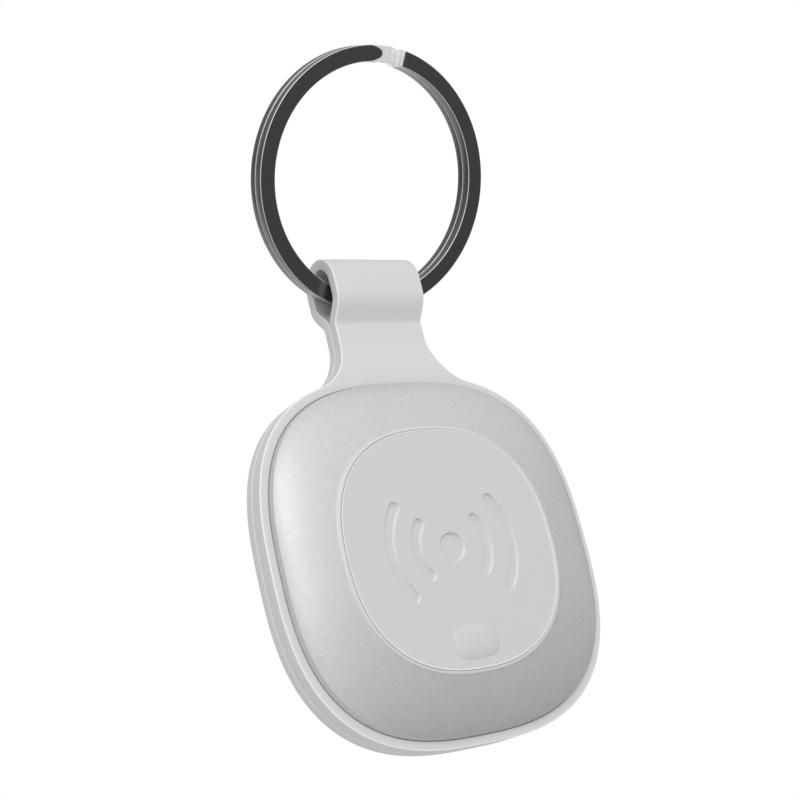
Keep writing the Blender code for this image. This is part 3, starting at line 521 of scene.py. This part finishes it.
def domeRows(innerHalf, innerExponent, plane, steps=28):
    start, end = radians(shell["startTurn"]), radians(shell["endTurn"])
    rows = []
    for turn in np.linspace(start, end, steps):
        share = (sin(turn) - sin(start)) / (sin(end) - sin(start))
        halfWidth = innerHalf + (shell["half"] - innerHalf) * share
        exponent = innerExponent + (body["exponent"] - innerExponent) * share
        fall = (cos(turn) - cos(end)) / (cos(start) - cos(end))
        rows.append((halfWidth, exponent, shell["wallTop"] + (plane - shell["wallTop"]) * fall))
    return rows


def sideRows():
    n, foot = body["exponent"], shell["flangeDepth"] + strap["gap"]
    half, top, flange, under = shell["half"], shell["wallTop"], shell["flange"], strap["gap"]
    inside = half - shell["wall"]
    slope = [(half + shell["lean"] * share, n, top - (top - shell["seat"]) * share)
             for share in (0.25, 0.5, 0.75, 1.0)]
    return slope + [(half + shell["lean"], n, foot), (flange, n, foot), (flange, n, under),
                    (inside, n, under), (inside, n, top - shell["wall"])]


def shellMesh(name, rows, side, highlightRows=0):
    # rows of (half width, exponent, depth) or (..., aspect) round the wall's section; side -1 is the front
    bm = bmesh.new()
    highlightLayer = bm.verts.layers.float.new("paintedHighlight")
    loops = []
    for i, (half, exponent, depth, *aspect) in enumerate(rows):
        ring = superellipse(half, exponent, *aspect)
        loops.append([bm.verts.new((x, side * depth, z)) for x, z in ring])
        # the first rows get the painted highlight
        for vert in loops[-1]:
            vert[highlightLayer] = 1.0 if i < highlightRows else 0.0
    bridge(bm, loops, closed=True)
    return meshFrom(name, bm, inTag(), 35)


def makeFrontShell():
    opening = panel["half"] + panel["gap"]
    n, plane, r = panel["exponent"], panel["plane"], shell["lipRound"]
    well = plane - panel["thickness"] - shell["tapeThickness"]
    foot = well - shell["ledgeThickness"]
    lip = [(opening + r * (1 - cos(t)), n, plane - r * (1 - sin(t))) for t in np.linspace(0, pi / 2, 7)]
    lip.append((opening + r + shell["lipFlat"], n, plane))
    rows = lip + domeRows(opening + r + shell["lipFlat"] + 0.05, n, plane - 0.03) + sideRows() + [
        (opening + 1, n, foot), (opening - shell["ledge"], n, foot),
        (opening - shell["ledge"], n, well), (opening, n, well)]
    mesh = shellMesh("frontShellSkin", rows, -1, len(lip))
    addPiece("frontShellSkin", mesh, "tag", ["front_shell"], pearl)


makeFrontShell()


# Panel with its engraved mark

mark = {"dotRadius": 1.5, "radii": (4.3, 7.4), "halfStroke": 0.62, "span": 38, "depth": 0.3,
        "slope": 0.1, "round": 0.02}
button = {"half": 2.75, "aspect": 0.6545, "exponent": 3.0, "drop": 9.6125, "gap": 0.006, "proud": 0.48,
          "skirt": 0.9, "crownFlatness": 2.2, "crownSoftness": 0.8}


def arcOutline(radius, middle, span, halfStroke):
    # a bent stroke with round ends
    turns = np.linspace(middle - span, middle + span, 40)
    outer = [((radius + halfStroke) * cos(t), (radius + halfStroke) * sin(t)) for t in turns]
    inner = [((radius - halfStroke) * cos(t), (radius - halfStroke) * sin(t)) for t in turns[::-1]]
    caps = []
    for at, begin in ((turns[-1], turns[-1]), (turns[0], turns[0] + pi)):
        cx, cy = radius * cos(at), radius * sin(at)
        caps.append([(cx + halfStroke * cos(begin + a), cy + halfStroke * sin(begin + a))
                     for a in np.linspace(0, pi, 12)[1:-1]])
    return evenly(np.array(outer + caps[0] + inner + caps[1]), 150)


def makePanel():
    bm = bmesh.new()
    plane, back = panel["plane"], panel["plane"] - panel["thickness"]
    edge = superellipse(panel["half"], panel["exponent"])
    beadRound = panel["beadRound"]
    bead = rounding(beadRound, 5, 0, plane + panel["bead"])
    for share in (0.25, 0.5, 0.75, 1.0):  # the raised edge falls back to the flat
        fallen = plane + panel["bead"] * (1 + cos(pi * share)) / 2
        bead.append((-beadRound - panel["beadFall"] * share, fallen))
    highlightLayer = bm.verts.layers.float.new("paintedHighlight")
    low, high = walls(bm, edge, [(0, back)] + bead + [(-panel["flatStart"], plane)])
    # painted highlight on the top of the raised bead
    for vert in bm.verts:
        vert[highlightLayer] = 1.0 if vert.co.z > plane + 0.6 * panel["bead"] else 0.0
    lows, highs = [low], [high]
    hole = superellipse(button["half"] + button["gap"], button["exponent"], button["aspect"], 120)
    hole[:, 1] -= button["drop"]
    low, high = walls(bm, hole, [(0, back)] + [(0, plane), (0.08, plane)])
    lows.append(low)
    highs.append(high)
    dot = superellipse(mark["dotRadius"], 2, 1, 80)
    shapes = [dot] + [arcOutline(radius, middle, radians(mark["span"]), mark["halfStroke"])
                      for radius in mark["radii"] for middle in (0, pi)]
    r, slope = mark["round"], mark["slope"]
    for shape in shapes:
        floor = plane - mark["depth"]
        profile = [(-slope - 0.05, floor), (-slope, floor), (-0.03 * slope, plane - r)]
        profile += rounding(r, 3, 0, plane, -1) + [(r + 0.05, plane)]
        known = len(bm.verts)
        low, high = walls(bm, shape, profile)
        bm.verts.ensure_lookup_table()
        outwards = moved(shape, 1.0) - shape
        for i, vert in enumerate(bm.verts[known:]):  # painted highlight on the walls that face up and left, towards the light, which are also the smoothest
            facing = outwards[i % len(shape)] @ (0.8, -0.6)
            onWall = len(shape) < i < (len(profile) - 2) * len(shape)
            vert[highlightLayer] = max(facing, 0.0) if onWall else 0.0
        fill(bm, [low])
        highs.append(high)
    fill(bm, lows)
    fill(bm, highs)
    frontwards(bm)
    addPiece("frontPanelSkin", meshFrom("frontPanelSkin", bm, inTag()), "tag",
             ["front_panel"], panelPlastic)


makePanel()


def makeButton():
    outline = superellipse(button["half"], button["exponent"], button["aspect"], 120)
    plane = panel["plane"]
    bm = bmesh.new()
    rows = [(1.0, plane - button["skirt"]), (1.0, plane)]
    for share in (0.995, 0.985, 0.97, 0.95, 0.92, 0.88, 0.83, 0.77, 0.7, 0.62, 0.53, 0.43, 0.32, 0.2, 0.08):
        rise = (1 - share ** button["crownFlatness"]) ** button["crownSoftness"]
        rows.append((share, plane + button["proud"] * rise))
    loops = [[bm.verts.new((x * share, z * share, depth)) for x, z in outline] for share, depth in rows]
    bridge(bm, loops)
    fill(bm, [loops[0]])
    crown = bm.verts.new((0, 0, plane + button["proud"]))
    for i in range(len(loops[-1])):
        bm.faces.new((loops[-1][i - 1], loops[-1][i], crown))
    frontwards(bm)
    mesh = meshFrom("buttonCapSkin", bm, inTag(button["drop"]))
    addPiece("buttonCapSkin", mesh, "button", ["button_cap"], panelPlastic)


makeButton()
print("puck front made")


# Back shell and battery door

door = {"radius": 12.5, "clearance": 0.15, "plane": 4.2, "thickness": 0.95, "shelf": 2.9,
        "shelfFoot": 2.1, "skirt": 11.3, "skirtWall": 0.8, "skirtFoot": 1.7, "edgeRound": 0.3,
        "slotHalf": 6.0, "slotHalfWidth": 0.9, "slotDepth": 0.5, "slotFoot": 0.08,
        "slotRound": 0.12, "skirtClearance": 0.3, "lipRound": 0.2, "border": 2.4}
# the turn mark is a short bar and a dot: the middle and half length of each, as angles
turnMark = {"radius": 9.8, "halfStroke": 0.45, "depth": 0.25, "round": 0.06,
            "strokes": ((pi / 2 + 0.2, 0.2), (pi / 2 - 0.22, 0.01))}


def makeBackShell():
    opening = door["radius"] + door["clearance"]
    r, plane, shelf, foot = door["lipRound"], door["plane"], door["shelf"], door["shelfFoot"]
    hole = door["skirt"] + door["skirtClearance"]
    lip = [(opening + r * (1 - cos(t)), 2.0, plane - r * (1 - sin(t)), 1.0)
           for t in np.linspace(0, pi / 2, 5)]
    rows = lip + domeRows(opening + door["border"], panel["exponent"], plane) + sideRows() + [
        (opening + shell["wall"], 2.2, foot, 1.0), (hole, 2.0, foot, 1.0),
        (hole, 2.0, shelf, 1.0), (opening, 2.0, shelf, 1.0)]
    mesh = shellMesh("backShellSkin", rows, 1)
    addPiece("backShellSkin", mesh, "tag", ["back_shell"], backPlastic)


def makeDoor():
    bm = bmesh.new()
    plane, under = door["plane"], door["plane"] - door["thickness"]
    edge = superellipse(door["radius"], 2, 1)
    skirtInner = superellipse(door["skirt"] - door["skirtWall"], 2, 1)
    low, high = walls(bm, edge, [(0, under)] + rounding(door["edgeRound"], 6, 0, plane))
    inside = [bm.verts.new((x, z, under)) for x, z in skirtInner]
    foot = [bm.verts.new((x, z, door["skirtFoot"])) for x, z in skirtInner]
    outerFoot = [bm.verts.new((x, z, door["skirtFoot"])) for x, z in superellipse(door["skirt"], 2, 1)]
    outerTop = [bm.verts.new((x, z, under)) for x, z in superellipse(door["skirt"], 2, 1)]
    bridge(bm, [low, outerTop, outerFoot, foot, inside])
    fill(bm, [inside])
    highs = [high]
    slot = evenly(np.array(capsule(door["slotHalf"], door["slotHalfWidth"])), 120)
    floor = plane - door["slotDepth"]
    slotFoot = door["slotFoot"]
    slotProfile = [(-slotFoot, floor), (0, floor + slotFoot)]
    slotProfile += rounding(door["slotRound"], 5, 0, plane, -1)
    slotLow, slotHigh = walls(bm, slot, slotProfile)
    fill(bm, [slotLow])
    highs.append(slotHigh)
    r = turnMark["round"]
    profile = [(-r, plane - turnMark["depth"])] + rounding(r, 3, 0, plane, -1)
    for middle, span in turnMark["strokes"]:
        shape = arcOutline(turnMark["radius"], middle, span, turnMark["halfStroke"])
        markLow, markHigh = walls(bm, shape, profile)
        fill(bm, [markLow])
        highs.append(markHigh)
    fill(bm, highs)
    for vert in bm.verts:
        x, z, depth = vert.co
        vert.co = (x, depth, z)
    addPiece("batteryDoorSkin", meshFrom("batteryDoorSkin", bm, inTag()), "door",
             ["battery_door"], backPlastic)


def capsule(half, halfWidth):
    right = [(half - halfWidth + halfWidth * cos(t), halfWidth * sin(t))
             for t in np.linspace(-pi / 2, pi / 2, 20)]
    left = [(-x, -y) for x, y in right]
    return right + left


makeBackShell()
makeDoor()
print("puck back made")


# Key ring

ring = {"outer": 13.94, "width": 1.73, "thickness": 0.96, "round": 0.085, "gap": 0.12, "lean": 28.3,
        "cutEnd": 10.9, "rampEnd": 12.3, "rampDrop": 0.3, "jogStart": 4, "jogEnd": 12.5, "backEnd": 1,
        "endRound": 0.06, "stations": 260, "tipStart": -8, "tipStations": 50, "jogStations": 44,
        "across": 22, "roundSteps": 4, "highlightTip": 0.6, "highlightRamp": 0.55, "highlightCurve": 6.5,
        "highlightBlend": 0.5}


def wireSection(angle, depth, shrink=0.0, drop=0.0):
    # rounded rectangle of the flat wire; returns its points and how much painted highlight (brighter and
    # smoother) each one gets
    middle, r, steps = ring["outer"] - ring["width"] / 2, ring["round"], ring["roundSteps"]
    w, t = ring["width"] / 2 - shrink, ring["thickness"] / 2 - shrink
    corners = ((w - r, t - r), (r - w, t - r), (r - w, r - t), (w - r, r - t))
    points, paintedHighlight = [], []
    for k, (cx, cy) in enumerate(corners):
        for i in range(steps + 1):
            turn = (k + i / steps) * pi / 2
            points.append((cx + r * cos(turn), cy + r * sin(turn)))
            # painted highlight on the rounded corners
            paintedHighlight.append(0.7 if 0 < i < steps else 0.0)
        nextX = corners[(k + 1) % 4][0]
        if k % 2 == 0:  # the broad faces carry points between their edges
            out = r if k == 0 else -r
            for share in np.linspace(0, 1, ring["across"] + 1)[1:-1]:
                points.append((cx + (nextX - cx) * share, cy + out))
                paintedHighlight.append(0.0)
    fromTop = (np.degrees(angle) + 180) % 360 - 180
    placed = []
    for i, (a, b) in enumerate(points):
        b = max(b, drop - ring["thickness"] / 2)
        # painted highlight on the wire's free end by the jog, its front curving across the wire
        tip = ring["highlightTip"] - ring["highlightCurve"] * abs(a / w) ** 2.5
        if pi < angle < 3 * pi and fromTop < ring["jogEnd"] + 1:
            paintedHighlight[i] = max(paintedHighlight[i], min(max((fromTop - tip) / ring["highlightBlend"], 0), 1))
        placed.append(((middle + a) * sin(angle), depth + b, (middle + a) * cos(angle)))
    return placed, paintedHighlight


def makeRing():
    layer = (ring["thickness"] + ring["gap"]) / 2
    middle = ring["outer"] - ring["width"] / 2
    first, rampEnd = radians(ring["cutEnd"]), radians(ring["rampEnd"])
    jogStart, jogEnd = radians(ring["jogStart"]) + 2 * pi, radians(ring["jogEnd"]) + 2 * pi
    last = radians(ring["backEnd"]) + 4 * pi
    r = ring["endRound"]
    sections = []
    for turn in np.linspace(0, pi / 2, 4)[:-1]:
        at = first - r * sin(pi / 2 - turn) / middle
        sections.append(wireSection(at, -layer, r * (1 - sin(turn)), ring["rampDrop"]))
    for share in np.linspace(0, 1, 6):
        at = first + (rampEnd - first) * share
        sections.append(wireSection(at, -layer, 0, ring["rampDrop"] * (1 - share)))
    tipStart = radians(ring["tipStart"]) + 2 * pi
    for at in np.linspace(rampEnd, tipStart, ring["stations"])[1:]:
        sections.append(wireSection(at, -layer))
    for at in np.linspace(tipStart, jogStart, ring["tipStations"])[1:]:
        sections.append(wireSection(at, -layer))
    for at in np.linspace(jogStart, jogEnd, ring["jogStations"])[1:-1]:
        sections.append(wireSection(at, -layer * cos(pi * (at - jogStart) / (jogEnd - jogStart))))
    for at in np.linspace(jogEnd, last, ring["stations"]):
        sections.append(wireSection(at, layer))
    for turn in np.linspace(pi / 2, 0, 4)[1:]:
        sections.append(wireSection(last + r * cos(turn) / middle, layer, r * (1 - sin(turn))))
    bm = bmesh.new()
    highlightLayer = bm.verts.layers.float.new("paintedHighlight")
    loops = []
    endRows, crease = 4, 8  # the rows of the cut end, and the row where its ramp ends
    for i, (points, paintedHighlight) in enumerate(sections):
        loop = [bm.verts.new(p) for p in points]
        for vert, value in zip(loop, paintedHighlight):
            # painted highlight: full on the cut end and the ramp's crease, part way on the rest of the ramp
            if i < endRows or i == crease:
                value = 1.0
            elif i < crease:
                value = ring["highlightRamp"]
            vert[highlightLayer] = value
        loops.append(loop)
    bridge(bm, loops)
    bm.faces.new(loops[0])
    bm.faces.new(loops[-1])
    lean = radians(ring["lean"])
    drop = (ring["outer"] - ring["width"]) * mm
    place = Matrix.Translation((0, drop * sin(lean), -drop * cos(lean))) @ Matrix.Rotation(lean, 4, "X")
    mesh = meshFrom("keyRingSkin", bm, place, 60)
    addPiece("keyRingSkin", mesh, "ring", ["key_ring"], ringSteel)


makeRing()
print("ring made")

# Pieces inside the puck keep their CAD shape

innerNodes = {
    "contact_steel": ["switch_plunger", "switch_body", "buzzer_spring_plate", "buzzer_spring_ceramic",
                      "contact_positive", "contact_negative", "screw_1", "screw_2", "screw_3"],
    "board": ["circuit_board"],
    "chip": ["radio_chip", "memory_chip", "buzzer_coil"],
    "cell_steel": ["crystal", "cell_can", "cell_cap"],
    "ceramic": ["chip_antenna", "capacitor_1", "capacitor_2", "capacitor_3", "capacitor_4",
                "buzzer_ceramic"],
    "brass": ["buzzer_plate"],
    "foam_tape": ["panel_tape", "buzzer_gasket"],
    "holder_plastic": ["cell_holder", "cell_grommet"],
    "seal_rubber": ["door_seal"],
}
for finishName, names in innerNodes.items():
    for name in names:
        for slot in frame["nodes"][name].material_slots:
            slot.material = inner[finishName]


# Studio

# brightness by direction: direction, where it starts and ends, its value there, how it blends
studio = {"sky": ((-0.05, -0.87, 0.49), -1.0, 1.0, 0.0, 1.07, "LINEAR"),
          "behind": ((0.2, 1.0, 0.0), 0.6, 0.95, 0.0, 0.8, "SMOOTHSTEP"),
          "dark": ((0.5655, -0.6523, -0.5048), 0.55, 0.93, 1.0, 0.36, "SMOOTHSTEP")}
keyLight = {"direction": (-0.38, -0.84, 0.38), "distance": 0.5, "size": 0.28, "power": 0.38}
ground = {"radius": 0.5, "place": (0, 0.01, -0.115)}


def makeWorld():
    world = bpy.data.worlds.new("studio")
    scene.world = world
    world.use_nodes = True
    nodes, link = world.node_tree.nodes, world.node_tree.links.new
    background = nodes["Background"]
    background.inputs["Color"].default_value = (1, 1, 1, 1)
    where = nodes.new("ShaderNodeTexCoord")

    def towards(direction, low, high, atLow, atHigh, interpolation):
        dot = nodes.new("ShaderNodeVectorMath")
        dot.operation = "DOT_PRODUCT"
        dot.inputs[1].default_value = Vector(direction).normalized()
        spread = nodes.new("ShaderNodeMapRange")
        spread.interpolation_type = interpolation
        spread.inputs["From Min"].default_value = low
        spread.inputs["From Max"].default_value = high
        spread.inputs["To Min"].default_value = atLow
        spread.inputs["To Max"].default_value = atHigh
        link(where.outputs["Generated"], dot.inputs[0])
        link(dot.outputs["Value"], spread.inputs["Value"])
        return spread

    sky, behind, dark = (towards(*studio[side]) for side in ("sky", "behind", "dark"))
    both = nodes.new("ShaderNodeMath")
    both.operation = "MULTIPLY"
    link(sky.outputs["Result"], both.inputs[0])
    link(dark.outputs["Result"], both.inputs[1])
    rays = nodes.new("ShaderNodeLightPath")
    pick = nodes.new("ShaderNodeMix")
    pick.inputs["B"].default_value = 1.0
    link(rays.outputs["Is Camera Ray"], pick.inputs["Factor"])
    total = nodes.new("ShaderNodeMath")
    link(both.outputs[0], total.inputs[0])
    link(behind.outputs["Result"], total.inputs[1])
    link(total.outputs[0], pick.inputs["A"])
    link(pick.outputs["Result"], background.inputs["Strength"])


def areaLight(name, direction, distance, size, power):
    data = bpy.data.lights.new(name, "AREA")
    data.shape = "DISK"
    data.size = size
    data.energy = power
    light = bpy.data.objects.new(name, data)
    scene.collection.objects.link(light)
    target = Vector((0, 0.01, -0.035))
    away = Vector(direction).normalized()
    light.location = target + away * distance
    light.rotation_mode = "QUATERNION"
    light.rotation_quaternion = away.to_track_quat("Z", "Y")


makeWorld()
areaLight("keyLight", **keyLight)

bpy.ops.mesh.primitive_circle_add(vertices=128, radius=ground["radius"], fill_type="NGON",
                                  location=ground["place"])
floor = bpy.context.object
floor.name = "floor"
floor.data.materials.append(
    finishOf("floor", grey(0.85), 0.7, spread=0.01, toneScale=5, grainStrength=0.02))
floor.visible_glossy = False
